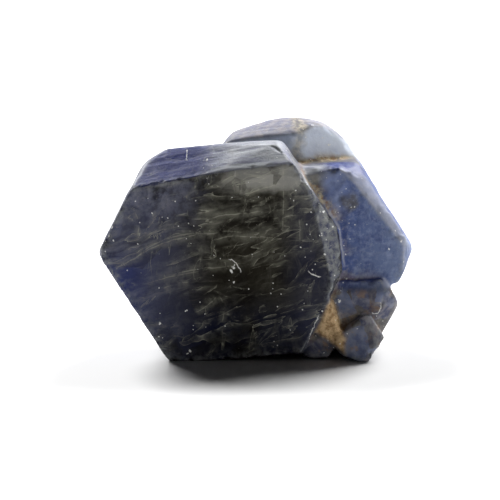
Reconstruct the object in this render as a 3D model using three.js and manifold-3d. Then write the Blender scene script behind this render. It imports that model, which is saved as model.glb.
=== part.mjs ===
// A rough sapphire: tabular corundum crystals grown together in parallel and worn by water.
// Millimetres. X runs to the right, Y into the stone along the crystals' c axis, Z up.
import * as THREE from "three";
import { ConvexGeometry } from "three/addons/geometries/ConvexGeometry.js";
import { mergeVertices } from "three/addons/utils/BufferGeometryUtils.js";
import Module from "manifold-3d";

const wasm = await Module();
wasm.setup();

const { degToRad, lerp } = THREE.MathUtils;

// Driving dimensions

const LEAN = degToRad(2.8); // the cluster leans on its lower right crystals
const GROUND = 0; // the height at which the resting edges are worn flat

// A crystal is a six-sided tablet. Its prism faces look out at 30, 90, 150, 210, 270 and 330 degrees from +X.
// reach gives, in that order, how far each of them lies from the centre [x, z]. The basal faces lie at the
// depths front and back, and tilt is how many degrees the tablet looks up. Each cut is a plane through a
// point, and everything on the side its normal points to is gone.
const CRYSTALS = {
  front: {
    centre: [-1.65, 8.15],
    reach: [7.2, 7, 7.85, 7.85, 7.95, 8.1],
    front: 0,
    back: 7.2,
    tilt: 0,
    seed: 11,
    cuts: [
      { through: [-2.3, 0, 13.5], normal: [-0.13, -0.45, 0.88] }, // top bevel, left half
      { through: [-2.3, 0, 13.5], normal: [-0.06, -0.56, 0.83] }, // top bevel, right half
      { through: [-6.7, 2, 14.6], normal: [-0.5, 0.12, 0.86] }, // worn upper left corner
      { through: [-7.75, 1, 13.4], normal: [-0.78, 0.02, 0.62] }, // and below it
      { through: [-3, 3.2, 15.15], normal: [-0.04, 0.17, 0.98] }, // top, falling to the back
      { through: [2.6, 2.2, 14.75], normal: [0.66, -0.1, 0.74] }, // worn upper right corner
      { through: [5.3, 0, 7.2], normal: [0.66, -0.74, 0.12] }, // bevel of the broken right corner
      { through: [6.25, 0, 7], normal: [0.99, -0.06, 0.1] }, // the break behind that bevel
      { through: [4.6, 0, 2.6], normal: [0.86, -0.35, -0.36] }, // lower right break
      { through: [-10.4, 0, 8.1], normal: [-0.97, -0.2, 0] }, // worn left corner
    ],
  },
  right: {
    centre: [5, 9.2],
    reach: [4.6, 4, 6, 6, 4.65, 7],
    front: 2.6,
    back: 9.4,
    tilt: 0,
    seed: 23,
    cuts: [
      { through: [8.85, 2.6, 10.2], normal: [0.62, -0.64, 0.45] }, // upper right bevel
      { through: [11.15, 3.2, 7], normal: [0.9, -0.42, -0.05] }, // worn right corner
      { through: [7.6, 4, 12.9], normal: [0.5, -0.3, 0.81] }, // worn top corner
      { through: [6, 2.6, 12.95], normal: [-0.12, -0.5, 0.86] }, // top bevel
    ],
  },
  top: {
    centre: [2.6, 10.2],
    reach: [6.15, 6.1, 6.05, 6, 6, 6],
    front: 5.4,
    back: 11.6,
    tilt: 0,
    seed: 37,
    cuts: [
      { through: [3.75, 5.4, 14.8], normal: [0.52, -0.78, 0.14] }, // broad right bevel
      { through: [-0.6, 6.8, 15.65], normal: [-0.26, 0.1, 0.96] }, // worn top left corner
      { through: [-1.35, 6, 15.1], normal: [-0.75, 0.05, 0.66] }, // and below it
      { through: [2.3, 8.4, 16.25], normal: [-0.08, -0.28, 0.96] }, // top slope, rising to the back
      { through: [4.9, 8, 16], normal: [0.26, 0.02, 0.97] }, // top right slope
      { through: [6.5, 8, 15.1], normal: [0.66, 0.02, 0.75] }, // worn top right corner
      { through: [2.6, 9, 16.25], normal: [0.1, 0.5, 0.86] }, // back of the top, falling away
    ],
  },
  lower: {
    centre: [6.6, 2.9],
    reach: [3.7, 2.25, 3, 1.9, 3.5, 3.1],
    front: 1.6,
    back: 8,
    tilt: 14,
    seed: 41,
    cuts: [
      { through: [9.2, 2, 2.6], normal: [0.72, -0.62, -0.3] }, // lower right bevel
      { through: [10, 3, 4.2], normal: [0.8, -0.3, 0.5] }, // worn right corner
      { through: [9.7, 3, 1.8], normal: [0.77, 0.06, -0.63] }, // lower right edge
    ],
  },
  tip: {
    centre: [7.05, 0.75],
    reach: [2.1, 2.2, 1.5, 1.2, 1.5, 1.8],
    front: -0.1,
    back: 4.5,
    tilt: 12,
    seed: 45,
    cuts: [
      { through: [8.5, 0, 1], normal: [0.66, -0.72, 0.2] }, // right bevel
      { through: [6.95, 0.3, 2.2], normal: [-0.6, -0.1, 0.8] }, // slope towards the clay wedge
      { through: [6.1, 0, 0.1], normal: [-0.42, -0.1, -0.9] }, // lower left edge
      { through: [8.6, 1, 0.45], normal: [0.77, 0.02, -0.63] }, // lower right edge
    ],
  },
  rear: {
    centre: [-3.9, 7.4],
    reach: [4.4, 4.7, 4.2, 4.9, 4.6, 4.5],
    front: 6,
    back: 10.2,
    tilt: 0,
    seed: 53,
    cuts: [
      { through: [-5.5, 10.2, 10.4], normal: [-0.3, 0.6, 0.74] }, // worn upper edge
      { through: [-4.5, 10.2, 4.2], normal: [0.1, 0.62, -0.78] }, // worn lower edge
    ],
  },
  heel: {
    centre: [3.6, 4.5],
    reach: [3.9, 3.6, 3.6, 3.8, 4.3, 3.9],
    front: 4.5,
    back: 9.7,
    tilt: 6,
    seed: 59,
    cuts: [
      { through: [5.6, 9.2, 2.2], normal: [0.45, 0.6, -0.66] }, // worn lower edge, behind
      { through: [6.6, 8, 3.4], normal: [0.85, 0.3, -0.4] }, // worn right edge
    ],
  },
  foot: {
    centre: [4.3, 1.4],
    reach: [1.5, 1.5, 1.5, 1.5, 1.5, 1.5],
    front: 0.4,
    back: 5,
    tilt: 0,
    seed: 67,
    cuts: [{ through: [5.3, 0.4, 1.2], normal: [0.6, -0.4, 0.7] }], // slope under the clay wedge
  },
};

// The wedge of rusty clay stone that fills the crevice between the front crystal, the foot and the tip.
const WEDGE = [
  [5.35, 0.05, 4.35],
  [4.1, 0.1, 1.85],
  [6.25, 0.3, 0.75],
  [5.2, 0.35, 0.9],
  [6.2, 4, 3.2],
  [4.4, 4, 3.4],
  [4.6, 4, 1.2],
];

// Rounded hollows left by breaks: ellipsoids with a centre, three radii and a turn in degrees.
const HOLLOWS = [
  { at: [4.9, 2.2, 14], radii: [1.4, 1.3, 1], turn: 20 }, // between the front, right and top crystals
  { at: [6.9, 2.2, 13.8], radii: [1.1, 1.2, 0.8], turn: -30 },
  { at: [1.6, 0.4, -0.95], radii: [2.8, 2.6, 1.35], turn: 12 }, // under the front crystal
  { at: [6.55, 0.2, 5], radii: [0.9, 1.2, 0.8], turn: 0 }, // below the broken right corner
  { at: [4.75, -0.5, 11.9], radii: [0.55, 0.8, 0.9], turn: 0 }, // down the front crystal's right edge
  { at: [5.7, -0.6, 9.6], radii: [0.5, 0.9, 0.7], turn: 15 },
  { at: [-9.6, 10.4, 1.4], radii: [5, 4, 4.4], turn: 30 }, // lower left, behind
  { at: [11.8, 13, 11.6], radii: [5.2, 4.6, 4.4], turn: -25 }, // upper right, behind
];
const HOLLOW_DETAIL = 3; // how often the ellipsoid's triangles are halved

const PLATES = 5; // growth plates in each crystal, along the c axis
const LEDGE = 0.027; // the deepest ledge between two plates, as a share of the reach
const TERRACE = 0.13; // how much smaller the last plate is at most, as a share of the reach
const OVERLAP = 0.1; // how far a plate reaches into the one before
const UNEVEN = { least: 0.4, most: 1.6 }; // a plate's thickness, as a share of the average
const NICK = { least: 0.2, most: 0.9, stretch: 1.8, standOff: 0.46, perEdge: 4 }; // chips out of the rims

const BLOCK = 60; // a cutting block, larger than the stone
const WELD = 1e-3; // vertices closer than this are one

// Solids and geometries

function solidOf(geometry) {
  const bare = geometry.clone();
  bare.deleteAttribute("normal");
  bare.deleteAttribute("uv");
  const merged = mergeVertices(bare, WELD);
  return new wasm.Manifold(
    new wasm.Mesh({
      numProp: 3,
      vertProperties: merged.attributes.position.array,
      triVerts: new Uint32Array(merged.index.array),
    }),
  );
}

function geometryOf(solid) {
  const mesh = solid.getMesh();
  const geometry = new THREE.BufferGeometry();
  geometry.setAttribute("position", new THREE.BufferAttribute(mesh.vertProperties, mesh.numProp));
  geometry.setIndex(new THREE.BufferAttribute(mesh.triVerts, 1));
  return geometry;
}

// Everything beyond a plane, as a block whose near face lies on it.
function beyond({ through, normal }) {
  const outward = new THREE.Vector3(...normal).normalize();
  const turn = new THREE.Quaternion().setFromUnitVectors(new THREE.Vector3(0, 0, 1), outward);
  const block = new THREE.BoxGeometry(BLOCK, BLOCK, BLOCK);
  block.translate(0, 0, BLOCK / 2).applyQuaternion(turn).translate(...through);
  return solidOf(block);
}

function without(solid, pieces) {
  return pieces.reduce((left, piece) => left.subtract(piece), solid);
}

// The outermost shell of a solid, with any sealed hollow filled.
function shellOf(solid) {
  return solid.decompose().reduce((largest, body) => (body.volume() > largest.volume() ? body : largest));
}

// A repeatable source of numbers from 0 to 1.
function seeded(seed) {
  let state = seed;
  return () => {
    state = (Math.imul(state, 1664525) + 1013904223) >>> 0;
    return state / 2 ** 32;
  };
}

// Crystals

// The corners of a six-sided outline whose sides lie at the given reaches from its centre.
function hexagon([x, z], reach) {
  const step = Math.PI / 3;
  return reach.map((distance, side) => {
    const next = reach[(side + 1) % reach.length];
    const angle = step / 2 + step * side;
    const along = (next - distance * Math.cos(step)) / Math.sin(step);
    return new THREE.Vector2(
      x + distance * Math.cos(angle) - along * Math.sin(angle),
      z + distance * Math.sin(angle) + along * Math.cos(angle),
    );
  });
}

function plate(centre, reach, front, back) {
  const outline = new THREE.Shape(hexagon(centre, reach));
  const slab = new THREE.ExtrudeGeometry(outline, { depth: back - front, bevelEnabled: false });
  return solidOf(slab.rotateX(Math.PI / 2).translate(0, back, 0));
}

// How much smaller than the crystal a plate may be, as a share of its reach.
function setback(layer) {
  if (layer === PLATES - 1) return TERRACE;
  return layer % 2 ? LEDGE : 0;
}

// A pile of growth plates. Every second one is a little smaller, and the last is a low terrace.
function pile({ centre, reach, front, back }, random) {
  const shares = Array.from({ length: PLATES }, () => lerp(UNEVEN.least, UNEVEN.most, random()));
  const thickness = (back - front) / shares.reduce((sum, share) => sum + share);
  let solid = null;
  let start = front;
  shares.forEach((share, layer) => {
    const inset = reach.map((distance) => distance * (1 - setback(layer) * random()));
    const end = start + share * thickness;
    const slab = plate(centre, inset, start - (layer ? OVERLAP : 0), end);
    solid = solid ? solid.add(slab) : slab;
    start = end;
  });
  return solid;
}

// Chips bitten out of the rims of a crystal's basal faces, each longest along its edge.
function nicks({ centre, reach, front, back }, random) {
  const corners = hexagon(centre, reach);
  const rims = [
    { depth: front, outward: -1, shrink: 0 },
    { depth: back, outward: 1, shrink: TERRACE / 2 },
  ];
  return rims.flatMap(({ depth, outward, shrink }) =>
    corners.flatMap((corner, side) => {
      const edge = corners[(side + 1) % corners.length].clone().sub(corner);
      return Array.from({ length: NICK.perEdge }, () => {
        const size = lerp(NICK.least, NICK.most, random() ** 2);
        const at = corner.clone().addScaledVector(edge, random());
        const away = at.clone().sub(new THREE.Vector2(...centre));
        at.addScaledVector(away, -shrink).addScaledVector(away.normalize(), size * NICK.standOff);
        const stone = new THREE.IcosahedronGeometry(size);
        stone.rotateX(Math.PI * random()).rotateY(Math.PI * random());
        stone.scale(1 + NICK.stretch * random(), 1, 1).rotateY(-edge.angle());
        return solidOf(stone.translate(at.x, depth + outward * size * NICK.standOff, at.y));
      });
    }),
  );
}

function crystal(shape) {
  const random = seeded(shape.seed);
  const [, z] = shape.centre;
  const tablet = geometryOf(without(pile(shape, random), nicks(shape, random)));
  tablet.translate(0, -shape.front, -z).rotateX(-degToRad(shape.tilt)).translate(0, shape.front, z);
  return without(solidOf(tablet), shape.cuts.map(beyond));
}

function hollow({ at, radii, turn }) {
  const ball = new THREE.IcosahedronGeometry(1, HOLLOW_DETAIL);
  return solidOf(ball.scale(...radii).rotateZ(degToRad(turn)).translate(...at));
}

// The cluster

const wedge = solidOf(new ConvexGeometry(WEDGE.map((corner) => new THREE.Vector3(...corner))));
const grown = Object.values(CRYSTALS).map(crystal).reduce((cluster, next) => cluster.add(next), wedge);
const broken = without(shellOf(grown), HOLLOWS.map(hollow));

// Lean the cluster, wear its resting edges flat and set it on the ground, centred.
const leaned = solidOf(geometryOf(broken).rotateY(-LEAN));
const worn = leaned.subtract(beyond({ through: [0, 0, GROUND], normal: [0, 0, -1] }));
const resting = geometryOf(shellOf(solidOf(geometryOf(worn))));
resting.computeBoundingBox();
const middle = resting.boundingBox.getCenter(new THREE.Vector3());
resting.translate(-middle.x, -middle.y, -GROUND);

const sapphire = new THREE.Mesh(
  resting,
  new THREE.MeshStandardMaterial({ color: 0x23284a, roughness: 0.3, metalness: 0 }),
);
sapphire.name = "sapphire";

const part = new THREE.Group();
part.add(sapphire);

export default part;
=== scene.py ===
# A rough sapphire in a white studio: its worn surface, its veined blue-black body and the dust on it.
import math

import bpy
import numpy as np
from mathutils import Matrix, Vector, noise


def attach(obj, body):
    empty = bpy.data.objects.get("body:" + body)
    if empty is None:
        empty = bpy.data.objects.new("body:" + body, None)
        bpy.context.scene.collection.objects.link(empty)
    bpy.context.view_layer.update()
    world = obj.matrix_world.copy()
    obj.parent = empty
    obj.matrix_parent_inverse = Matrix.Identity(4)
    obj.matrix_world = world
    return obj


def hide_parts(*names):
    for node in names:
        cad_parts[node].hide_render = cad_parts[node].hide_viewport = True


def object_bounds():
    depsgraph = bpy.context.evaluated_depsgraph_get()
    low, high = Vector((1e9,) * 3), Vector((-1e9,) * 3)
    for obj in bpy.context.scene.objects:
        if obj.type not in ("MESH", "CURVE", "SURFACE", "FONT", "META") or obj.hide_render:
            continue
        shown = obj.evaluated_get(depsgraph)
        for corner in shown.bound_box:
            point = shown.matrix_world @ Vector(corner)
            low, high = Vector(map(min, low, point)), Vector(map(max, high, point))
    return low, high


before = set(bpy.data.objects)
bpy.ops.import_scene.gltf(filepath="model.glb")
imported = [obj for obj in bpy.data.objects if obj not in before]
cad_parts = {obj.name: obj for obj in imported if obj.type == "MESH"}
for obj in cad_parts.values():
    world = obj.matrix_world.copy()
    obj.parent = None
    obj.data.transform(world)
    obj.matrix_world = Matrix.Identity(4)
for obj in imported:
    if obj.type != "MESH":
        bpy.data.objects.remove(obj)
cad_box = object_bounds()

MM = 0.001

# The camera, in millimetres. One pixel of the 500 by 500 image spans PIXEL on the front crystal's basal face.
FRONT_FACE = -5.63  # Y of that face
IMAGE = 500
PIXEL = 0.07
GROUND_PIXEL = (257.8, 362)  # where the point X = 0, Z = 0 of that face shows
ELEVATION = math.radians(9)
DISTANCE = 180
SENSOR = 36
NEAREST = 10  # what lies closer isn't shown

# The studio, in metres. A lamp has a direction from the stone, a distance, a width, a height and a radiance.
LEFT_KEY = ((-0.45, 0.66, 0.66), 0.5, 0.2, 0.2, 34)
RIGHT_KEY = ((0.45, 0.66, 0.66), 0.5, 0.2, 0.2, 33)
RIGHT_FILL = ((0.85, -0.4, 0.3), 0.4, 0.25, 0.15, 3.6)
WORLD_STRENGTH = 0.02
WHITE = (1, 1, 1, 1)
FLOOR_HALF = 3.0
FLOOR_COLOUR = (0.9, 0.9, 0.9, 1)
FLOOR_ROUGHNESS = 0.5

# The worn surface, in millimetres. A pair gives the values at which a share is 0 and 1.
VOXEL = 0.122
CRISP_ROUNDS = 4  # smoothing of the front crystal's edges
WORN_ROUNDS = 30  # further smoothing of the edges behind
WEAR_DEPTHS = (1.2, 4.5)  # depths behind the front face between which the wear grows
CHIP_ROUNDS = 40  # smoothing against which the edges that chip stand out
CHIP_HEIGHTS = (0.01, 0.07)
CHIPS_LOST = 0.75  # share of the chips that wear has smoothed away behind
CRUMBLY_X = 5.6  # the crevice where crumbs cling
CRUMBLY_WIDTH = 1.6
CRUMBLY_DEPTHS = (6, 4)

# Relief: its height, and its noise as features per millimetre along X, Y and Z, octaves and an offset
FRACTAL_FALL = 1.0  # how fast the octaves of all these noises get weaker
FRACTAL_GAP = 2.0  # and how much finer each is than the one before
GROWTH_LINES = 0.026
GROWTH_NOISE = ((0.25, 3.2, 0.25), 3, 11)
WAVES = 0.045
WAVE_NOISE = ((0.5, 0.5, 0.5), 3, 23)
CHIPS = 0.2
CHIP_NOISE = ((1.1, 1.1, 1.1), 4, 37)
CHIP_LEVELS = (0.2, 0.6)
PITS = 0.03
PIT_NOISE = ((1.7, 1.7, 1.7), 2, 51)
PIT_LEVELS = (0.55, 0.85)
CRUMBS = 0.1
CRUMB_NOISE = ((1.6, 1.6, 1.6), 4, 83)

# Where the crystals meet, in millimetres. Depths count from the front face.
SWAY = 0.3  # how far the borders wander
SWAY_NOISE = ((0.5, 0.5, 0.5), 3, 71)
SMALL_SWAY = 0.4  # share of that at the lower right
HIDDEN_SPREAD = 4  # widths that the borders gain on the faces turned away from the front
TOP_DEPTHS = (4.7, 5.3)
TOP_FROM = 13.2
TOP_BLEND = 0.6
RIGHT_DEPTHS = (1.7, 2.3)
RIGHT_FROM = 4.7
RIGHT_BLEND = 0.5
LOWER_X = (5.3, 5.9)
LOWER_Z = (5.0, 4.4)
FOOT_X = (3.4, 4.0)
FOOT_Z = (2.0, 1.4)

# Edges and crevices: rounds of smoothing, and heights above or depths below the smoothed surface
FINE_ROUNDS = 12
BROAD_ROUNDS = 160
EDGE_HEIGHTS = (0.01, 0.06)
RIM_HEIGHTS = (0.02, 0.35)
CREVICE_DEPTHS = (0.03, 0.25)

# Directions that the facets look in, and how well a normal has to agree with them
FRONT_BEVEL = (-0.1, -0.5, 0.86)
FRONT_CORNER = (-0.68, 0.06, 0.73)
FRONT_BREAK = (0.66, -0.74, 0.12)
RIGHT_BEVEL = (0.62, -0.64, 0.45)
FACET_MATCH = (0.8, 0.95)
CORNER_MATCH = (0.7, 0.92)
CORNER_Z = (11.5, 12.5)
CORNER_DEPTHS = (4, 1.5)
CORNER_SWAY = 3
FLANK_Y = (-0.05, 0.4)  # the normal's Y on faces turned away from the front
FACING_Y = (-0.25, -0.6)  # and on faces turned to it
STEEP_Z = (0.85, 0.45)  # the normal's Z on steep faces
UPWARD_Z = (0.3, 0.8)  # and on faces that look up

# The patch of clay at the lower right: its corners on the front face, as X and Z
CLAY_PATCH = [(5.15, 4.35), (4.05, 2.0), (6.1, 0.6), (6.2, 1.6)]
CLAY_SOFT = 0.2
CLAY_DEPTHS = (3.2, 2.2)

# A brown spot on the right crystal's face, and the radii between which it fades
BROWN_SPOT = (6.6, -3.0, 11.0)
SPOT_RADII = (0.9, 0.3)

# Healed cracks that reach the front face: start, middle and end of each as X and Z, and its strength
VEILS = [
    ((-10.1, 6.7), (-9.3, 7.0), (-7.8, 8.0), 0.55),
    ((-9.7, 6.6), (-6.0, 8.6), (-0.5, 9.1), 0.6),
    ((-8.3, 7.6), (-6.7, 8.6), (-4.5, 9.1), 0.5),
    ((-6.2, 6.0), (-4.7, 6.55), (-2.8, 6.65), 0.6),
    ((-8.2, 5.4), (-4.0, 6.5), (-0.5, 7.0), 0.45),
    ((-6.7, 5.2), (-5.8, 5.5), (-4.7, 5.7), 0.5),
    ((-4.5, 3.5), (-3.5, 4.1), (-2.8, 4.6), 0.75),
    ((-4.5, 2.7), (-4.0, 2.75), (-3.4, 2.7), 0.5),
    ((-2.7, 4.7), (-2.35, 3.8), (-2.6, 2.7), 0.5),
    ((-8.8, 11.1), (-8.4, 9.8), (-8.4, 8.6), 0.5),
    ((-3.5, 10.1), (-1.1, 10.5), (0.5, 10.6), 0.6),
    ((1.0, 10.2), (2.0, 10.35), (2.9, 10.5), 0.55),
    ((-3.3, 8.65), (-0.6, 8.9), (1.5, 8.7), 0.55),
    ((1.7, 14.1), (1.78, 11.4), (1.7, 9.1), 0.6),
    ((2.9, 10.2), (2.94, 9.3), (2.9, 8.4), 0.5),
    ((-8.2, 12.3), (-5.8, 12.95), (-2.9, 13.5), 0.8),
    ((-1.4, 11.6), (0.1, 12.25), (1.9, 12.55), 0.7),
    ((-2.6, 12.6), (-2.0, 13.0), (-1.3, 13.3), 0.7),
]
VEIL_SLANT = (0.35, 0, -0.4)  # how the cracks drift to the side and down with depth
VEIL_WIDTH = 0.055
VEIL_HAZE = 0.6
VEIL_LINE_GLOW = 0.5
VEIL_HAZE_GLOW = 0.3
ARC_TAPER = 0.7  # share of an arc's half length at which it starts to fade

# Families of random cracks: rise in degrees, lengths along X, Y and Z, contours, and the level they start at
BENT_WISPS = [
    (13, (8.0, 3.0, 1.5), 6.0, 0.44),
    (5, (2.6, 1.6, 0.6), 4.0, 0.54),
    (84, (3.0, 1.8, 0.9), 5.0, 0.54),
    (48, (2.8, 1.8, 0.7), 4.0, 0.57),
]
WARPED_WISPS = [(24, (4.0, 2.0, 0.9), 5.0, 0.5)]
CONTOUR_NOISE = (1.0, 3, 0.5)  # features per length, octaves and roughness
GROUP_NOISE = (0.9, 2, 0.55)  # the same, for where the cracks gather
GROUP_BLEND = 0.14
WISP_LINE = 0.07  # width of a line, as a share of the way to the next contour
WISP_FADE = 4.0  # power by which the haze fades
WISP_LINE_GLOW = 0.45
WISP_HAZE_GLOW = 0.4
CRACKS_ELSEWHERE = 0.65  # share of the cracks that the other crystals and the bevel lack

# White fibres and scratches: start, middle and end of each as X and Z
LINT = [
    ((-2.15, 7.3), (-1.66, 7.1), (-1.15, 6.3)),
    ((-1.9, 6.7), (-1.75, 6.75), (-1.6, 6.95)),
    ((8.05, 3.2), (8.35, 3.12), (8.65, 3.3)),
    ((8.6, 3.2), (8.74, 3.5), (8.7, 3.95)),
    ((-5.02, 14.75), (-5.0, 14.4), (-5.0, 14.0)),
    ((4.4, 3.4), (3.95, 2.5), (3.5, 1.15)),
    ((3.5, 6.5), (4.0, 6.15), (4.5, 6.0)),
]
LINT_WIDTH = 0.05
LINT_DEPTHS = (3.5, 3.0)

# White grains that lie on the side facing the camera: X, Z and radius of each
GRAINS = [
    (-1.85, 6.45, 0.13),
    (-1.7, 6.65, 0.1),
    (-1.65, 5.7, 0.09),
    (-2.0, 5.75, 0.05),
    (4.7, 7.6, 0.1),
    (4.65, 10.6, 0.1),
    (5.4, 5.15, 0.11),
    (10.2, 8.15, 0.09),
    (9.35, 7.6, 0.09),
    (-6.9, 2.7, 0.09),
    (-4.75, 0.75, 0.13),
    (-4.95, 0.55, 0.08),
    (-10.2, 9.55, 0.12),
    (-10.45, 8.95, 0.1),
    (-10.1, 8.6, 0.08),
    (-5.75, 11.4, 0.06),
    (-7.4, 10.5, 0.06),
    (-3.6, 14.1, 0.08),
    (-2.3, 2.5, 0.06),
    (1.4, 3.9, 0.06),
]
GRAIN_CORE = 0.6  # share of the radius that is fully white

# Scattered dust: cells per millimetre and radius of a speck, then the shares of the cells that hold one
FINE_DUST = (3.0, 0.055)
COARSE_DUST = (0.9, 0.1)
SPECK_CORE = 0.5  # share of the radius that is fully white
DUST_ANYWHERE = 0.05
DUST_GATHERED = 0.7
DUST_IN_CLOUDS = 0.5
COARSE_SHARE = 0.8

# Colours, as red, green and blue from 0 to 255
OLIVE_BLACK = (34, 31, 24)
BROWN_BLACK = (18, 15, 12)
NAVY_BLACK = (14, 18, 40)
NAVY = (46, 55, 104)
SLATE = (72, 75, 98)
SMOKE = (106, 105, 96)
SLATE_PALE = (112, 114, 130)
VEIL = (178, 177, 160)
FACET_GREY = (146, 145, 140)
DEEP_BLUE = (64, 80, 132)
BEVEL_BLUE = (14, 25, 80)
DENIM = (108, 122, 156)
DENIM_PALE = (152, 164, 196)
LAVENDER = (176, 178, 188)
PALE_BLUE = (214, 222, 236)
STONE_GREY = (142, 145, 149)
FRACTURE_AND_GLOW = (136, 139, 140)
ASH = (134, 131, 136)
UMBER = (92, 88, 80)
CLAY = (214, 184, 142)
CLAY_DARK = (150, 120, 86)
LIMONITE = (196, 184, 154)
DUST = (240, 240, 236)

# Parts of the stone in millimetres: an axis, and where along it a share is 0 and 1
ZONES = {
    "left": [("X", -2.5, -9.5)],
    "bottom": [("Z", 5.5, 2.0)],
    "left corner": [("X", -7.0, -9.8), ("Z", 8.5, 6.5)],
    "right third": [("X", 1.0, 4.0)],
    "smoky": [("Z", 3.0, 13.0)],
    "shoulder": [("X", -2.5, -7.0), ("Z", 8.5, 12.0)],
    "curtain": [("X", -2.0, 3.0)],
    "panes": [("X", -3.5, -1.0)],
    "ledge": [("Z", 13.9, 14.4), ("X", 2.4, 1.2)],
    "milky": [("X", 7.2, 5.2), ("Z", 8.5, 11.0)],
    "low cap": [("Z", 14.6, 13.9)],
    "high seam": [("Z", 9.0, 11.0)],
    "by the break": [("X", 2.5, 5.0), ("X", 7.5, 5.5)],
}

# Blotches of noise: features per millimetre, octaves, roughness, and the levels where a share is 0 and 1
BLOTCHES = {
    "olive": (0.25, 4, 0.6, 0.38, 0.6),
    "navy": (0.25, 4, 0.6, 0.35, 0.55),
    "slate": (0.25, 4, 0.6, 0.3, 0.55),
    "smoke": (0.8, 8, 0.7, 0.44, 0.7),
    "mottle": (0.9, 6, 0.7, 0.35, 0.65),
    "curtain": (1.3, 5, 0.6, 0.5, 0.75),
    "glint": (1.1, 5, 0.65, 0.5, 0.74),
    "streaks": (1.0, 5, 0.65, 0.32, 0.56),
    "fracture": (2.2, 5, 0.7, 0.35, 0.65),
    "pale blue": (1.4, 5, 0.65, 0.5, 0.75),
    "dark blue": (0.8, 5, 0.65, 0.5, 0.68),
    "blue grain": (3.2, 4, 0.7, 0.42, 0.75),
    "cap": (1.6, 5, 0.65, 0.35, 0.65),
    "crumbs": (2.2, 5, 0.7, 0.38, 0.62),
    "ash": (1.1, 5, 0.65, 0.35, 0.65),
    "tan": (0.9, 4, 0.65, 0.54, 0.68),
    "fray": (1.3, 6, 0.7, 0.33, 0.6),
    "sugar": (2.4, 5, 0.75, 0.4, 0.62),
    "clay": (2.6, 5, 0.7, 0.36, 0.6),
    "stain": (2.6, 5, 0.7, 0.4, 0.6),
    "seam": (0.8, 5, 0.65, 0.36, 0.52),
    "dusty": (0.35, 3, 0.55, 0.45, 0.7),
}

# Plain noises: features per millimetre, octaves and roughness
PANE_BORDER = (0.8, 3, 0.55)
BLUE_PATCHES = (0.5, 5, 0.6)
TOP_PATCHES = (0.8, 5, 0.65)
PALE_LEVELS = (0.0, 0.5)  # of the patches on the top crystal
# For the painted sheen on the right crystal's bevel:
BEVEL_SHEEN_NOISE = (1.3, 5, 0.65)
DULLNESS = (1.2, 4, 0.55)
GRIT = (3.0, 6, 0.7)

# Wobbles: features per millimetre, and twice the greatest shift
WOBBLE_OCTAVES = 2
NOISE_MIDDLE = (0.5, 0.5, 0.5)
BROAD_WARP = (0.16, 3.0)
FINE_WARP = (0.9, 0.35)
WISP_BEND = (0.25, 1.8)
VEIL_WAVER = (0.8, 0.4)
LINT_WAVER = (3.5, 0.3)
FINE_DUST_WAVER = (3.0, 0.2)
COARSE_DUST_WAVER = (2.0, 0.3)
WINDOW_WAVER = (0.5, 0.6)
FACET_WAVER = (1.0, 0.5)
SPOT_WAVER = (1.2, 1.2)
CRACK_BEND = (0.6, 1.6)
CRACK_WAVER = (2.0, 0.5)

# Stretched patterns: rise to the right in degrees, and lengths along X, Y and Z
DRAWN_SMOKE = (14, (3.3, 1.4, 1.0))
UPRIGHT_CURTAIN = (2, (1.0, 1.4, 4.0))
SLANTED_PANES = (20, (1.0, 1.0, 0.67))
BEVEL_STREAKS = (4, (2.8, 0.4, 0.4))

# Cells with a random number each: cells per millimetre, and the numbers where a share is 0 and 1
WINDOW_CELLS = 0.55
WINDOW_LEVELS = (0.55, 1.0)
PANE_CELLS = 0.7
PANE_LEVELS = (-0.6, 0.9)
FACET_CELLS = 0.75
BLUE_FACETS = (0.6, 0.95)
UMBER_FACETS = (0.5, 0.2)

# Borders that wander with a noise: how far it shifts them, and the values between which they fade
PANES_SHIFT = 1.2
PANES_Z = (12.3, 13.2)
GREY_BEVEL_SHIFT = 0.8
GREY_BEVEL_X = (-4.4, -1.6)
OUTWARD_SHIFT = 4.0
OUTWARD_X = (7.0, 12.0)
STRIPE_SHIFT = 1.5
STRIPE_X = (3.6, 2.6)

# The rusty crack in the top crystal: its X, and the distances from it between which it fades
TOP_CRACK_X = 2.85
TOP_CRACK_WIDTHS = (0.75, 0.15)

# Shares that start at one value and grow or shrink by another
SMOKE_LEAST = 0.12
SMOKE_MORE = 0.55
# The painted sheen on the right crystal's bevel, and the share of it that faces looking up lose:
BEVEL_SHEEN_LEAST = 0.2
BEVEL_SHEEN_MORE = 0.9
BEVEL_SHEEN_LOST_ABOVE = 0.7
# For the painted glow on the broad rims, less on the top crystal:
RIM_COVER = 0.6
RIM_LOST_AT_TOP = 0.4
SEAM_LEAST = 0.35
SEAM_MORE = 0.55

# How much of what lies under it each layer of paint covers
COVER = {
    "left corner": 0.85,
    "right third": 0.35,
    "windows": 0.35,
    "shoulder": 0.75,
    "curtain": 0.4,
    "panes": 0.85,
    "glint": 0.5,
    "ledge": 0.8,
    "front corner": 0.85,
    "break": 0.9,
    "pale blue": 0.5,
    "dark blue": 0.55,
    "brown spot": 0.75,
    "blue grain": 0.35,
    "right top": 0.9,
    "stripe": 0.5,
    "top crack": 0.55,
    "blue facets": 0.6,
    "umber facets": 0.75,
    "tan": 0.5,
    "random cracks": 0.66,
    "edge": 0.75,
    "flank": 0.6,
    "dust": 0.9,
}

# The surface's gloss and grit
ROUGHNESS = 0.25
ROUGHNESS_SPREAD = 0.3
CLAY_ROUGHNESS = 0.35
SPECULAR = 0.03
CRACK_RELIEF = 0.3
BUMP_STRENGTH = 0.5
BUMP_DISTANCE = 0.1


def linear(colour):
    """A colour from 0 to 255 as linear light, with full alpha."""
    shares = [value / 255 for value in colour]
    return (*[s / 12.92 if s <= 0.04045 else ((s + 0.055) / 1.055) ** 2.4 for s in shares], 1)


def step(value, low, high):
    """0 at low, 1 at high, smooth between."""
    share = np.clip((value - low) / (high - low), 0, 1)
    return share * share * (3 - 2 * share)


# The stone's surface

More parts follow.
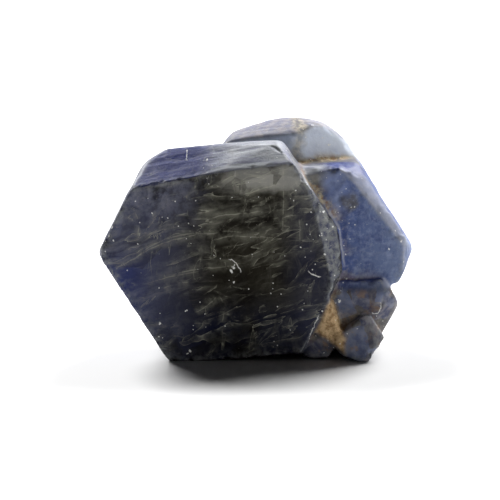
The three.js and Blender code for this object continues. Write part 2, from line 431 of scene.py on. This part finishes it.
def smoothed(points, edges, rounds):
    """The points after so many rounds of moving each halfway to its neighbours' mean."""
    first, second = edges.T
    size = len(points)
    counts = np.bincount(edges.ravel(), minlength=size)
    for _ in range(rounds):
        sums = [
            np.bincount(first, axis[second], size) + np.bincount(second, axis[first], size)
            for axis in points.T
        ]
        points = (points + np.stack(sums, 1) / counts[:, None]) / 2
    return points


def voxel_copy(source, name):
    """A new object with the source's shape as an even mesh of small quads."""
    piece = bpy.data.objects.new(name, source.data.copy())
    bpy.context.scene.collection.objects.link(piece)
    voxels = piece.modifiers.new("voxels", "REMESH")
    voxels.mode = "VOXEL"
    voxels.voxel_size = VOXEL * MM
    graph = bpy.context.evaluated_depsgraph_get()
    mesh = bpy.data.meshes.new_from_object(piece.evaluated_get(graph))
    piece.modifiers.clear()
    coarse = piece.data
    piece.data = mesh
    bpy.data.meshes.remove(coarse)
    mesh.materials.clear()
    mesh.shade_smooth()
    return piece


def read_points(mesh):
    """The vertices in millimetres, one row each."""
    flat = np.empty(len(mesh.vertices) * 3)
    mesh.vertices.foreach_get("co", flat)
    return flat.reshape(-1, 3) / MM


def write_points(mesh, points):
    """Move the vertices to these points, given in millimetres."""
    mesh.vertices.foreach_set("co", (points * MM).ravel())
    mesh.update()


def read_edges(mesh):
    """The two vertex numbers of each edge."""
    flat = np.empty(len(mesh.edges) * 2, int)
    mesh.edges.foreach_get("vertices", flat)
    return flat.reshape(-1, 2)


def read_normals(mesh):
    """The vertices' normals, one row each."""
    flat = np.empty(len(mesh.vertices) * 3)
    mesh.vertex_normals.foreach_get("vector", flat)
    return flat.reshape(-1, 3)


def field(points, scale, octaves, offset):
    """Fractal noise of about -1 to 1 at each point, with features per millimetre for each axis."""
    places = points * np.array(scale) + offset
    return np.array([noise.fractal(Vector(p), FRACTAL_FALL, FRACTAL_GAP, octaves) for p in places])


def height_above(points, edges, normals, rounds):
    """How far each point stands out of the smoothed surface, in millimetres."""
    return np.einsum("ij,ij->i", points - smoothed(points, edges, rounds), normals)


def rounded(mesh):
    """Round the crystals' edges, the more the further back they lie."""
    points = read_points(mesh)
    edges = read_edges(mesh)
    crisp = smoothed(points, edges, CRISP_ROUNDS)
    worn = smoothed(crisp, edges, WORN_ROUNDS)
    share = step(points[:, 1] - FRONT_FACE, *WEAR_DEPTHS)[:, None]
    write_points(mesh, crisp * (1 - share) + worn * share)


def weathered(mesh):
    """Add growth lines, waves, pits, chips and crumbs, without leaving the box of the CAD model."""
    points = read_points(mesh)
    edges = read_edges(mesh)
    normals = read_normals(mesh)
    depth = points[:, 1] - FRONT_FACE
    side = 1 - normals[:, 1] ** 2
    edge = step(height_above(points, edges, normals, CHIP_ROUNDS), *CHIP_HEIGHTS)
    fresh = 1 - CHIPS_LOST * step(depth, *WEAR_DEPTHS)
    loose = np.exp(-((points[:, 0] - CRUMBLY_X) / CRUMBLY_WIDTH) ** 2) * step(depth, *CRUMBLY_DEPTHS)
    height = GROWTH_LINES * field(points, *GROWTH_NOISE) * side
    height += WAVES * field(points, *WAVE_NOISE)
    height -= CHIPS * step(field(points, *CHIP_NOISE), *CHIP_LEVELS) * edge * fresh
    height -= PITS * step(field(points, *PIT_NOISE), *PIT_LEVELS)
    height += CRUMBS * field(points, *CRUMB_NOISE) * loose
    low, high = (np.array(corner) / MM for corner in cad_box)
    write_points(mesh, np.clip(points + normals * height[:, None], low, high))


# What the material needs to know of the shape

def facet(normals, direction, match):
    """1 where the surface looks in that direction."""
    unit = np.array(direction) / np.linalg.norm(direction)
    return step(normals @ unit, *match)


def inside(x, z, corners, soft):
    """1 within an outline whose corners run anticlockwise, fading over soft millimetres."""
    nearest = np.full(len(x), np.inf)
    for (ax, az), (bx, bz) in zip(corners, corners[1:] + corners[:1]):
        length = math.hypot(bx - ax, bz - az)
        nearest = np.minimum(nearest, ((bx - ax) * (z - az) - (bz - az) * (x - ax)) / length)
    return step(nearest, -soft, soft)


def masks(mesh):
    """Shares from 0 to 1 of rims, crevices, crystals, facets and dirt at each vertex."""
    points = read_points(mesh)
    edges = read_edges(mesh)
    normals = read_normals(mesh)
    x, depth, z = points[:, 0], points[:, 1] - FRONT_FACE, points[:, 2]
    sway = SWAY * field(points, *SWAY_NOISE)
    small = SMALL_SWAY * sway
    broad = height_above(points, edges, normals, BROAD_ROUNDS)

    flank = step(normals[:, 1], *FLANK_Y)
    spread = 1 + HIDDEN_SPREAD * flank
    top = step(z - TOP_FROM + spread * sway, -TOP_BLEND * spread, TOP_BLEND * spread)
    top = top * step(depth, *TOP_DEPTHS)
    low = step(z, *LOWER_Z)
    right = step(x - RIGHT_FROM + spread * sway, -RIGHT_BLEND * spread, RIGHT_BLEND * spread)
    right = right * step(depth, *RIGHT_DEPTHS) * (1 - low) * (1 - top)
    foot = step(x, *FOOT_X) * step(z, *FOOT_Z)
    lower = np.maximum(step(x + small, *LOWER_X) * low, foot)
    front = 1 - np.maximum(np.maximum(top, right), lower)

    corner = facet(normals, FRONT_CORNER, CORNER_MATCH) * step(z + sway, *CORNER_Z)
    corner = corner * step(depth + CORNER_SWAY * sway, *CORNER_DEPTHS)
    patch = inside(x + small, z + small, CLAY_PATCH, CLAY_SOFT) * step(depth, *CLAY_DEPTHS)
    return {
        "edge": step(height_above(points, edges, normals, FINE_ROUNDS), *EDGE_HEIGHTS),
        "rim": step(broad, *RIM_HEIGHTS),
        "crevice": step(-broad, *CREVICE_DEPTHS),
        "top": top,
        "right": right,
        "lower": lower,
        "front_bevel": facet(normals, FRONT_BEVEL, FACET_MATCH) * front,
        "front_corner": corner * front,
        "front_break": facet(normals, FRONT_BREAK, FACET_MATCH) * front,
        "right_bevel": facet(normals, RIGHT_BEVEL, FACET_MATCH) * right,
        "flank": flank * step(normals[:, 2], *STEEP_Z),
        "facing": step(normals[:, 1], *FACING_Y),
        "upward": step(normals[:, 2], *UPWARD_Z),
        "patch": patch,
    }


def store(mesh, values):
    """Keep each share as an attribute of the mesh."""
    for name, share in values.items():
        layer = mesh.attributes.new(name, "FLOAT", "POINT")
        layer.data.foreach_set("value", share.astype(np.float32))


# Shader nodes

class Nodes:
    """Short calls for the nodes of one material. Most return an output socket."""

    def __init__(self, material):
        material.use_nodes = True
        self.tree = material.node_tree
        self.shader = self.tree.nodes["Principled BSDF"]

    def put(self, socket, value):
        if isinstance(value, bpy.types.NodeSocket):
            self.tree.links.new(value, socket)
        else:
            socket.default_value = value

    def make(self, kind, inputs=None, **settings):
        node = self.tree.nodes.new(kind)
        for name, value in settings.items():
            setattr(node, name, value)
        for name, value in (inputs or {}).items():
            self.put(node.inputs[name], value)
        return node

    def math(self, operation, *values):
        node = self.make("ShaderNodeMath", operation=operation)
        for socket, value in zip(node.inputs, values):
            self.put(socket, value)
        return node.outputs[0]

    def times(self, *values):
        result = values[0]
        for value in values[1:]:
            result = self.math("MULTIPLY", result, value)
        return result

    def most(self, *values):
        result = values[0]
        for value in values[1:]:
            result = self.math("MAXIMUM", result, value)
        return result

    def vector(self, operation, *values):
        node = self.make("ShaderNodeVectorMath", operation=operation)
        for socket, value in zip(node.inputs, values):
            self.put(socket, value)
        return node.outputs["Value" if operation == "DISTANCE" else "Vector"]

    def scaled(self, place, scale):
        inputs = {0: place, "Scale": scale}
        return self.make("ShaderNodeVectorMath", inputs, operation="SCALE").outputs["Vector"]

    def apart(self, place):
        return self.make("ShaderNodeSeparateXYZ", {"Vector": place}).outputs

    def step(self, value, low, high):
        inputs = {"Value": value, "From Min": low, "From Max": high}
        return self.make("ShaderNodeMapRange", inputs, interpolation_type="SMOOTHSTEP").outputs["Result"]

    def mix(self, share, first, second):
        """From the first to the second colour. Either may be a socket or one of the colours above."""
        node = self.make("ShaderNodeMix", {"Factor": share}, data_type="RGBA")
        ends = [socket for socket in node.inputs if socket.type == "RGBA"]
        for socket, value in zip(ends, (first, second)):
            self.put(socket, value if isinstance(value, bpy.types.NodeSocket) else linear(value))
        return next(socket for socket in node.outputs if socket.type == "RGBA")

    def noise(self, place, scale, octaves, roughness):
        inputs = {"Vector": place, "Scale": scale, "Detail": octaves, "Roughness": roughness}
        return self.make("ShaderNodeTexNoise", inputs).outputs["Fac"]

    def wobble(self, place, scale, reach):
        """The place, shifted by up to half of reach in each direction."""
        inputs = {"Vector": place, "Scale": scale, "Detail": WOBBLE_OCTAVES}
        colour = self.make("ShaderNodeTexNoise", inputs).outputs["Color"]
        shift = self.vector("SUBTRACT", colour, NOISE_MIDDLE)
        return self.vector("ADD", place, self.scaled(shift, reach))

    def stretched(self, place, rise, lengths):
        """The place for a pattern of these lengths along X, Y and Z that rises to the right, in degrees."""
        inputs = {"Vector": place, "Rotation": (0, -math.radians(rise), 0), "Scale": lengths}
        return self.make("ShaderNodeMapping", inputs, vector_type="TEXTURE").outputs["Vector"]

    def flattened(self, place):
        return self.vector("MULTIPLY", place, (1, 0, 1))

    def random(self, place):
        return self.make("ShaderNodeTexWhiteNoise", {"Vector": place}).outputs["Value"]

    def cells(self, place, scale):
        """A random number for each cell of a lattice of straight-sided cells."""
        lattice = self.make("ShaderNodeTexVoronoi", {"Vector": place, "Scale": scale})
        return self.random(lattice.outputs["Position"])

    def attribute(self, name):
        return self.make("ShaderNodeAttribute", attribute_name=name).outputs["Fac"]


class StoneNodes(Nodes):
    """The nodes of the stone's material, with the place in millimetres and the mesh's shares at hand."""

    def __init__(self, material, names):
        super().__init__(material)
        self.place = self.scaled(self.make("ShaderNodeTexCoord").outputs["Object"], 1 / MM)
        self.axes = self.apart(self.place)
        self.depth = self.math("SUBTRACT", self.axes["Y"], FRONT_FACE)
        self.warped = self.wobble(self.wobble(self.place, *BROAD_WARP), *FINE_WARP)
        self.mask = {name: self.attribute(name) for name in names}

    def zone(self, name):
        """1 in the named part of the stone."""
        return self.times(*[self.step(self.axes[axis], low, high) for axis, low, high in ZONES[name]])

    def blotches(self, place, name):
        """1 in the named blotches."""
        *pattern, low, high = BLOTCHES[name]
        return self.step(self.noise(place, *pattern), low, high)

    def layer(self, share, cover, under, over):
        """Paint over what lies under, where the share says so, with the named layer's cover."""
        return self.mix(self.times(share, COVER[cover]), under, over)


# The stone's material

def wisps(stone, place, rise, lengths, contours, shown):
    """Cracks along the contours of stretched noise: fine lines with a haze that fades on one side."""
    drawn = stone.stretched(place, rise, lengths)
    across = stone.math("FRACT", stone.times(stone.noise(drawn, *CONTOUR_NOISE), contours))
    line = stone.step(across, WISP_LINE, 0.0)
    haze = stone.math("POWER", stone.math("SUBTRACT", 1.0, across), WISP_FADE)
    glow = stone.math("MULTIPLY_ADD", line, WISP_LINE_GLOW, stone.times(haze, WISP_HAZE_GLOW))
    return stone.times(glow, stone.step(stone.noise(drawn, *GROUP_NOISE), shown, shown + GROUP_BLEND))


def circle_through(first, second, third):
    """Centre and radius of the circle through three points."""
    (ax, ay), (bx, by), (cx, cy) = first, second, third
    area = 2 * (ax * (by - cy) + bx * (cy - ay) + cx * (ay - by))
    a, b, c = ax * ax + ay * ay, bx * bx + by * by, cx * cx + cy * cy
    x = (a * (by - cy) + b * (cy - ay) + c * (ay - by)) / area
    y = (a * (cx - bx) + b * (ax - cx) + c * (bx - ax)) / area
    return (x, y), math.hypot(ax - x, ay - y)


def arc(stone, flat, start, middle, end, width):
    """A line along an arc of the flattened place, a window that ends it, and the distance from it."""
    (x, z), radius = circle_through(start, middle, end)
    outward = stone.math("SUBTRACT", stone.vector("DISTANCE", flat, (x, 0, z)), radius)
    distance = stone.math("ABSOLUTE", outward)
    line = stone.step(distance, width, 0.0)
    centre = ((start[0] + end[0]) / 2, 0, (start[1] + end[1]) / 2)
    half = math.dist(start, end) / 2
    window = stone.step(stone.vector("DISTANCE", flat, centre), half, half * ARC_TAPER)
    return line, window, distance


def veils(stone):
    """The placed cracks: a fine line each, with a haze around it."""
    drift = stone.scaled(VEIL_SLANT, stone.depth)
    flat = stone.flattened(stone.wobble(stone.vector("SUBTRACT", stone.place, drift), *VEIL_WAVER))
    layers = []
    for start, middle, end, strength in VEILS:
        line, window, distance = arc(stone, flat, start, middle, end, VEIL_WIDTH)
        haze = stone.step(distance, VEIL_HAZE, 0.0)
        glow = stone.math("MULTIPLY_ADD", haze, VEIL_HAZE_GLOW, stone.times(line, VEIL_LINE_GLOW))
        layers.append(stone.times(glow, window, strength))
    return stone.most(*layers)


def cracks_in(stone):
    """All cracks, random and placed, which are fewer outside the front face."""
    bent = stone.wobble(stone.place, *WISP_BEND)
    families = [wisps(stone, bent, *family) for family in BENT_WISPS]
    families += [wisps(stone, stone.warped, *family) for family in WARPED_WISPS]
    random_cracks = stone.times(stone.most(*families), COVER["random cracks"])
    cracks = stone.times(stone.most(random_cracks, veils(stone)), stone.blotches(stone.place, "fray"))
    mask = stone.mask
    elsewhere = stone.most(mask["right"], mask["top"], mask["lower"], mask["front_bevel"])
    return stone.times(cracks, stone.math("MULTIPLY_ADD", elsewhere, -CRACKS_ELSEWHERE, 1.0))


def lint(stone):
    """Fibres, scratches and grains, on the faces that look to the front."""
    flat = stone.flattened(stone.wobble(stone.place, *LINT_WAVER))
    layers = []
    for start, middle, end in LINT:
        line, window, _ = arc(stone, flat, start, middle, end, LINT_WIDTH)
        layers.append(stone.times(line, window))
    for x, z, radius in GRAINS:
        distance = stone.vector("DISTANCE", flat, (x, 0, z))
        layers.append(stone.step(distance, radius, radius * GRAIN_CORE))
    return stone.times(stone.most(*layers), stone.mask["facing"], stone.step(stone.depth, *LINT_DEPTHS))


def specks(stone, place, scale, radius, share):
    """Round grains, in that share of the cells of a random lattice."""
    lattice = stone.make("ShaderNodeTexVoronoi", {"Vector": place, "Scale": scale})
    dot = stone.step(lattice.outputs["Distance"], radius * scale, radius * scale * SPECK_CORE)
    chosen = stone.math("LESS_THAN", stone.random(lattice.outputs["Position"]), share)
    return stone.times(dot, chosen)


def dust_on(stone):
    """Specks, which gather by the break in the front crystal, and lint."""
    clouds = stone.times(stone.blotches(stone.place, "dusty"), DUST_IN_CLOUDS)
    gathered = stone.most(clouds, stone.zone("by the break"), stone.mask["front_break"])
    gathered = stone.times(gathered, stone.mask["facing"])
    crowd = stone.math("MULTIPLY_ADD", gathered, DUST_GATHERED, DUST_ANYWHERE)
    fine = specks(stone, stone.wobble(stone.place, *FINE_DUST_WAVER), *FINE_DUST, crowd)
    fewer = stone.times(crowd, COARSE_SHARE)
    coarse = specks(stone, stone.wobble(stone.place, *COARSE_DUST_WAVER), *COARSE_DUST, fewer)
    return stone.most(fine, coarse, lint(stone))


def front_face_colour(stone):
    """The large crystal's body: olive-black within, navy at the left and below, smoky along the cracks."""
    warped = stone.warped
    left = stone.zone("left")
    colour = stone.mix(stone.blotches(warped, "olive"), BROWN_BLACK, OLIVE_BLACK)
    colour = stone.mix(stone.times(stone.zone("bottom"), stone.blotches(warped, "navy")), colour, NAVY_BLACK)
    colour = stone.mix(stone.times(left, stone.blotches(warped, "slate")), colour, SLATE)
    colour = stone.layer(stone.zone("left corner"), "left corner", colour, NAVY)
    colour = stone.layer(stone.zone("right third"), "right third", colour, SLATE)
    window = stone.cells(stone.wobble(warped, *WINDOW_WAVER), WINDOW_CELLS)
    colour = stone.layer(stone.step(window, *WINDOW_LEVELS), "windows", colour, BROWN_BLACK)

    smoke = stone.blotches(stone.stretched(warped, *DRAWN_SMOKE), "smoke")
    thick = stone.math("MULTIPLY_ADD", stone.most(left, stone.zone("smoky")), SMOKE_MORE, SMOKE_LEAST)
    colour = stone.mix(stone.times(smoke, thick), colour, stone.mix(left, SMOKE, SLATE_PALE))
    shoulder = stone.times(stone.zone("shoulder"), stone.blotches(warped, "mottle"))
    colour = stone.layer(shoulder, "shoulder", colour, SLATE_PALE)
    curtain = stone.blotches(stone.stretched(warped, *UPRIGHT_CURTAIN), "curtain")
    colour = stone.layer(stone.times(curtain, stone.zone("curtain")), "curtain", colour, SMOKE)

    border = stone.noise(stone.place, *PANE_BORDER)
    border = stone.math("MULTIPLY_ADD", border, PANES_SHIFT, stone.axes["Z"])
    near_top = stone.times(stone.step(border, *PANES_Z), stone.zone("panes"))
    panes = stone.cells(stone.stretched(warped, *SLANTED_PANES), PANE_CELLS)
    panes = stone.step(panes, *PANE_LEVELS)
    return stone.layer(stone.times(near_top, panes), "panes", colour, FACET_GREY)


def front_colour(stone):
    """The large crystal: its body, a bevel from blue with painted glints to a grey that is partly painted
    sheen, painted light on the faces that look up with a pale ledge, a pale corner of painted glow, and a
    grey break.
    """
    mask = stone.mask
    # Painted glints on the bevel's blue, and towards the right a grey that is partly its frosted striations
    # and partly painted sheen, streaked along the bevel.
    glint = stone.blotches(stone.warped, "glint")
    blue = stone.layer(glint, "glint", BEVEL_BLUE, SLATE)
    streaks = stone.blotches(stone.stretched(stone.place, *BEVEL_STREAKS), "streaks")
    grey = stone.mix(streaks, SLATE_PALE, STONE_GREY)
    along = stone.math("MULTIPLY_ADD", glint, GREY_BEVEL_SHIFT, stone.axes["X"])
    bevel = stone.mix(stone.step(along, *GREY_BEVEL_X), blue, grey)
    colour = stone.mix(mask["front_bevel"], front_face_colour(stone), bevel)

    # Faces that look up are painted slate and the ledge paler grey: painted light on the tops.
    off_bevel = stone.times(mask["upward"], stone.math("SUBTRACT", 1.0, mask["front_bevel"]))
    colour = stone.mix(off_bevel, colour, SLATE)
    colour = stone.layer(stone.times(off_bevel, stone.zone("ledge")), "ledge", colour, STONE_GREY)
    # The upper left corner facet is painted lavender: a painted glow of light coming through the thin corner.
    colour = stone.layer(mask["front_corner"], "front corner", colour, LAVENDER)
    broken = stone.mix(stone.blotches(stone.place, "fracture"), SLATE, FRACTURE_AND_GLOW)
    return stone.layer(mask["front_break"], "break", colour, broken)


def right_colour(stone):
    """The right crystal: deep blue inwards, paler outwards, with a brown spot, navy painted shade on the
    faces that look up, and a lavender painted sheen on its bevel.
    """
    warped = stone.warped
    upward = stone.mask["upward"]
    patches = stone.noise(warped, *BLUE_PATCHES)
    outward = stone.math("MULTIPLY_ADD", patches, OUTWARD_SHIFT, stone.axes["X"])
    colour = stone.mix(stone.step(outward, *OUTWARD_X), DEEP_BLUE, DENIM)
    colour = stone.layer(stone.blotches(warped, "pale blue"), "pale blue", colour, DENIM_PALE)
    colour = stone.layer(stone.blotches(warped, "dark blue"), "dark blue", colour, NAVY)
    colour = stone.mix(stone.times(stone.zone("milky"), patches), colour, DENIM_PALE)
    spot = stone.vector("DISTANCE", stone.wobble(stone.place, *SPOT_WAVER), BROWN_SPOT)
    colour = stone.layer(stone.step(spot, *SPOT_RADII), "brown spot", colour, UMBER)
    colour = stone.layer(stone.blotches(stone.place, "blue grain"), "blue grain", colour, DENIM_PALE)
    # Faces that look up are painted navy: painted shade that holds back the lamps' light on them.
    colour = stone.layer(upward, "right top", colour, NAVY)
    # A lavender painted sheen on the bevel, weaker on the faces that look up.
    bevel_sheen = stone.math("MULTIPLY_ADD", stone.noise(warped, *BEVEL_SHEEN_NOISE), BEVEL_SHEEN_MORE, BEVEL_SHEEN_LEAST)
    sheen_off_top = stone.math("MULTIPLY_ADD", upward, -BEVEL_SHEEN_LOST_ABOVE, 1.0)
    return stone.mix(stone.times(stone.mask["right_bevel"], bevel_sheen, sheen_off_top), colour, LAVENDER)


def top_colour(stone):
    """The top crystal: pale blue, partly its own colour and partly painted glow and reflection, greyer on
    top, with a rusty crack down the front.
    """
    patches = stone.noise(stone.warped, *TOP_PATCHES)
    # The pale blue is partly the crystal's own colour and partly painted glow of the light behind it and
    # painted reflection of the bright studio.
    colour = stone.mix(stone.step(patches, *PALE_LEVELS), DENIM_PALE, PALE_BLUE)
    stripe = stone.math("MULTIPLY_ADD", patches, STRIPE_SHIFT, stone.axes["X"])
    colour = stone.layer(stone.step(stripe, *STRIPE_X), "stripe", colour, DENIM)
    cap = stone.mix(stone.blotches(stone.warped, "cap"), SLATE_PALE, ASH)
    cap = stone.mix(stone.zone("low cap"), cap, UMBER)
    colour = stone.mix(stone.mask["upward"], colour, cap)
    wavy = stone.wobble(stone.wobble(stone.place, *CRACK_BEND), *CRACK_WAVER)
    across = stone.math("SUBTRACT", stone.apart(wavy)["X"], TOP_CRACK_X)
    crack = stone.step(stone.math("ABSOLUTE", across), *TOP_CRACK_WIDTHS)
    crumbs = stone.mix(stone.blotches(stone.place, "crumbs"), UMBER, LIMONITE)
    return stone.layer(crack, "top crack", colour, crumbs)


def lower_colour(stone):
    """The lower right crystals: small facets in ash grey, slate, blue and umber, stained tan."""
    facets = stone.cells(stone.wobble(stone.place, *FACET_WAVER), FACET_CELLS)
    colour = stone.mix(stone.blotches(stone.warped, "ash"), SLATE, ASH)
    colour = stone.layer(stone.step(facets, *BLUE_FACETS), "blue facets", colour, DENIM)
    colour = stone.layer(stone.step(facets, *UMBER_FACETS), "umber facets", colour, UMBER)
    return stone.layer(stone.blotches(stone.place, "tan"), "tan", colour, CLAY_DARK)


def stone_material(names):
    """The stone's paint, gloss and grit, from the named shares of its mesh."""
    material = bpy.data.materials.new("sapphire")
    stone = StoneNodes(material, names)
    place = stone.place
    mask = stone.mask
    colour = front_colour(stone)
    colour = stone.mix(mask["right"], colour, right_colour(stone))
    colour = stone.mix(mask["top"], colour, top_colour(stone))
    colour = stone.mix(mask["lower"], colour, lower_colour(stone))
    cracks = cracks_in(stone)
    colour = stone.mix(cracks, colour, VEIL)

    # The broad rims are painted grey as a painted glow of light through the thin edges, less on the top
    # crystal; the fine edges are painted grey as real wear.
    rim = stone.times(mask["rim"], stone.math("MULTIPLY_ADD", mask["top"], -RIM_LOST_AT_TOP, RIM_COVER))
    worn = stone.most(stone.times(mask["edge"], COVER["edge"]), rim)
    colour = stone.mix(stone.times(worn, stone.blotches(place, "sugar")), colour, FRACTURE_AND_GLOW)
    clay = stone.mix(stone.blotches(place, "clay"), CLAY_DARK, CLAY)
    colour = stone.mix(mask["patch"], colour, clay)
    seam = stone.times(mask["crevice"], stone.blotches(place, "seam"))
    filled = stone.math("MULTIPLY_ADD", stone.zone("high seam"), SEAM_MORE, SEAM_LEAST)
    stain = stone.mix(stone.blotches(place, "stain"), CLAY_DARK, LIMONITE)
    colour = stone.mix(stone.times(seam, filled), colour, stain)
    # Steep faces turned away from the front are painted navy-black: painted shade against the lamps behind
    # the stone.
    colour = stone.layer(mask["flank"], "flank", colour, NAVY_BLACK)
    colour = stone.layer(dust_on(stone), "dust", colour, DUST)

    rough = stone.math("MULTIPLY_ADD", stone.noise(place, *DULLNESS), ROUGHNESS_SPREAD, ROUGHNESS)
    rough = stone.math("MULTIPLY_ADD", stone.most(mask["patch"], seam), CLAY_ROUGHNESS, rough)
    grit = stone.math("ADD", stone.noise(place, *GRIT), stone.times(cracks, CRACK_RELIEF))
    relief = {"Height": grit, "Strength": BUMP_STRENGTH, "Distance": BUMP_DISTANCE * MM}
    inputs = stone.shader.inputs
    stone.put(inputs["Base Color"], colour)
    stone.put(inputs["Roughness"], rough)
    stone.put(inputs["Normal"], stone.make("ShaderNodeBump", relief).outputs["Normal"])
    inputs["Specular IOR Level"].default_value = SPECULAR
    return material


# The studio

def floor():
    """A plain white floor."""
    mesh = bpy.data.meshes.new("floor")
    corners = [(x * FLOOR_HALF, y * FLOOR_HALF, 0) for x, y in ((-1, -1), (1, -1), (1, 1), (-1, 1))]
    mesh.from_pydata(corners, [], [(0, 1, 2, 3)])
    stage = bpy.data.objects.new("floor", mesh)
    bpy.context.scene.collection.objects.link(stage)
    material = bpy.data.materials.new("floor")
    nodes = Nodes(material)
    nodes.shader.inputs["Base Color"].default_value = FLOOR_COLOUR
    nodes.shader.inputs["Roughness"].default_value = FLOOR_ROUGHNESS
    mesh.materials.append(material)


def softbox(name, direction, distance, width, height, radiance):
    """A rectangular light that looks at the stone, with its brightness given as radiance."""
    lamp = bpy.data.lights.new(name, "AREA")
    lamp.shape = "RECTANGLE"
    lamp.size = width
    lamp.size_y = height
    lamp.energy = radiance * math.pi * width * height
    box = bpy.data.objects.new(name, lamp)
    away = Vector(direction).normalized()
    box.location = away * distance
    box.rotation_mode = "QUATERNION"
    box.rotation_quaternion = (-away).to_track_quat("-Z", "Y")
    bpy.context.scene.collection.objects.link(box)
    return box


def studio(stone):
    """Two lamps behind the stone, and a weak one at the right that lights the stone alone."""
    softbox("left_key", *LEFT_KEY)
    softbox("right_key", *RIGHT_KEY)
    fill = softbox("right_fill", *RIGHT_FILL)
    lit_by_fill = bpy.data.collections.new("lit_by_fill")
    lit_by_fill.objects.link(stone)
    fill.light_linking.receiver_collection = lit_by_fill
    world = bpy.data.worlds.new("studio")
    world.use_nodes = True
    background = world.node_tree.nodes["Background"]
    background.inputs["Color"].default_value = WHITE
    background.inputs["Strength"].default_value = WORLD_STRENGTH
    bpy.context.scene.world = world
    bpy.context.scene.view_settings.view_transform = "Standard"


def camera():
    """The photo's camera, which looks along +Y and a little down."""
    data = bpy.data.cameras.new("camera")
    data.sensor_width = SENSOR
    data.lens = SENSOR * DISTANCE / (IMAGE * PIXEL)
    data.clip_start = NEAREST * MM
    eye = bpy.data.objects.new("camera", data)
    bpy.context.scene.collection.objects.link(eye)
    right = (IMAGE / 2 - GROUND_PIXEL[0]) * PIXEL
    up = (GROUND_PIXEL[1] - IMAGE / 2) * PIXEL / math.cos(ELEVATION)
    back = Vector((0, -math.cos(ELEVATION), math.sin(ELEVATION)))
    eye.location = (Vector((right, FRONT_FACE, up)) + back * DISTANCE) * MM
    eye.rotation_mode = "QUATERNION"
    eye.rotation_quaternion = (-back).to_track_quat("-Z", "Y")
    bpy.context.scene.camera = eye


# Making the scene

camera()
floor()

sapphire = voxel_copy(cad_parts["sapphire"], "sapphire_cluster")
rounded(sapphire.data)
shares = masks(sapphire.data)
weathered(sapphire.data)
store(sapphire.data, shares)
sapphire.data.materials.append(stone_material(shares))
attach(sapphire, "root")
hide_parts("sapphire")
studio(sapphire)
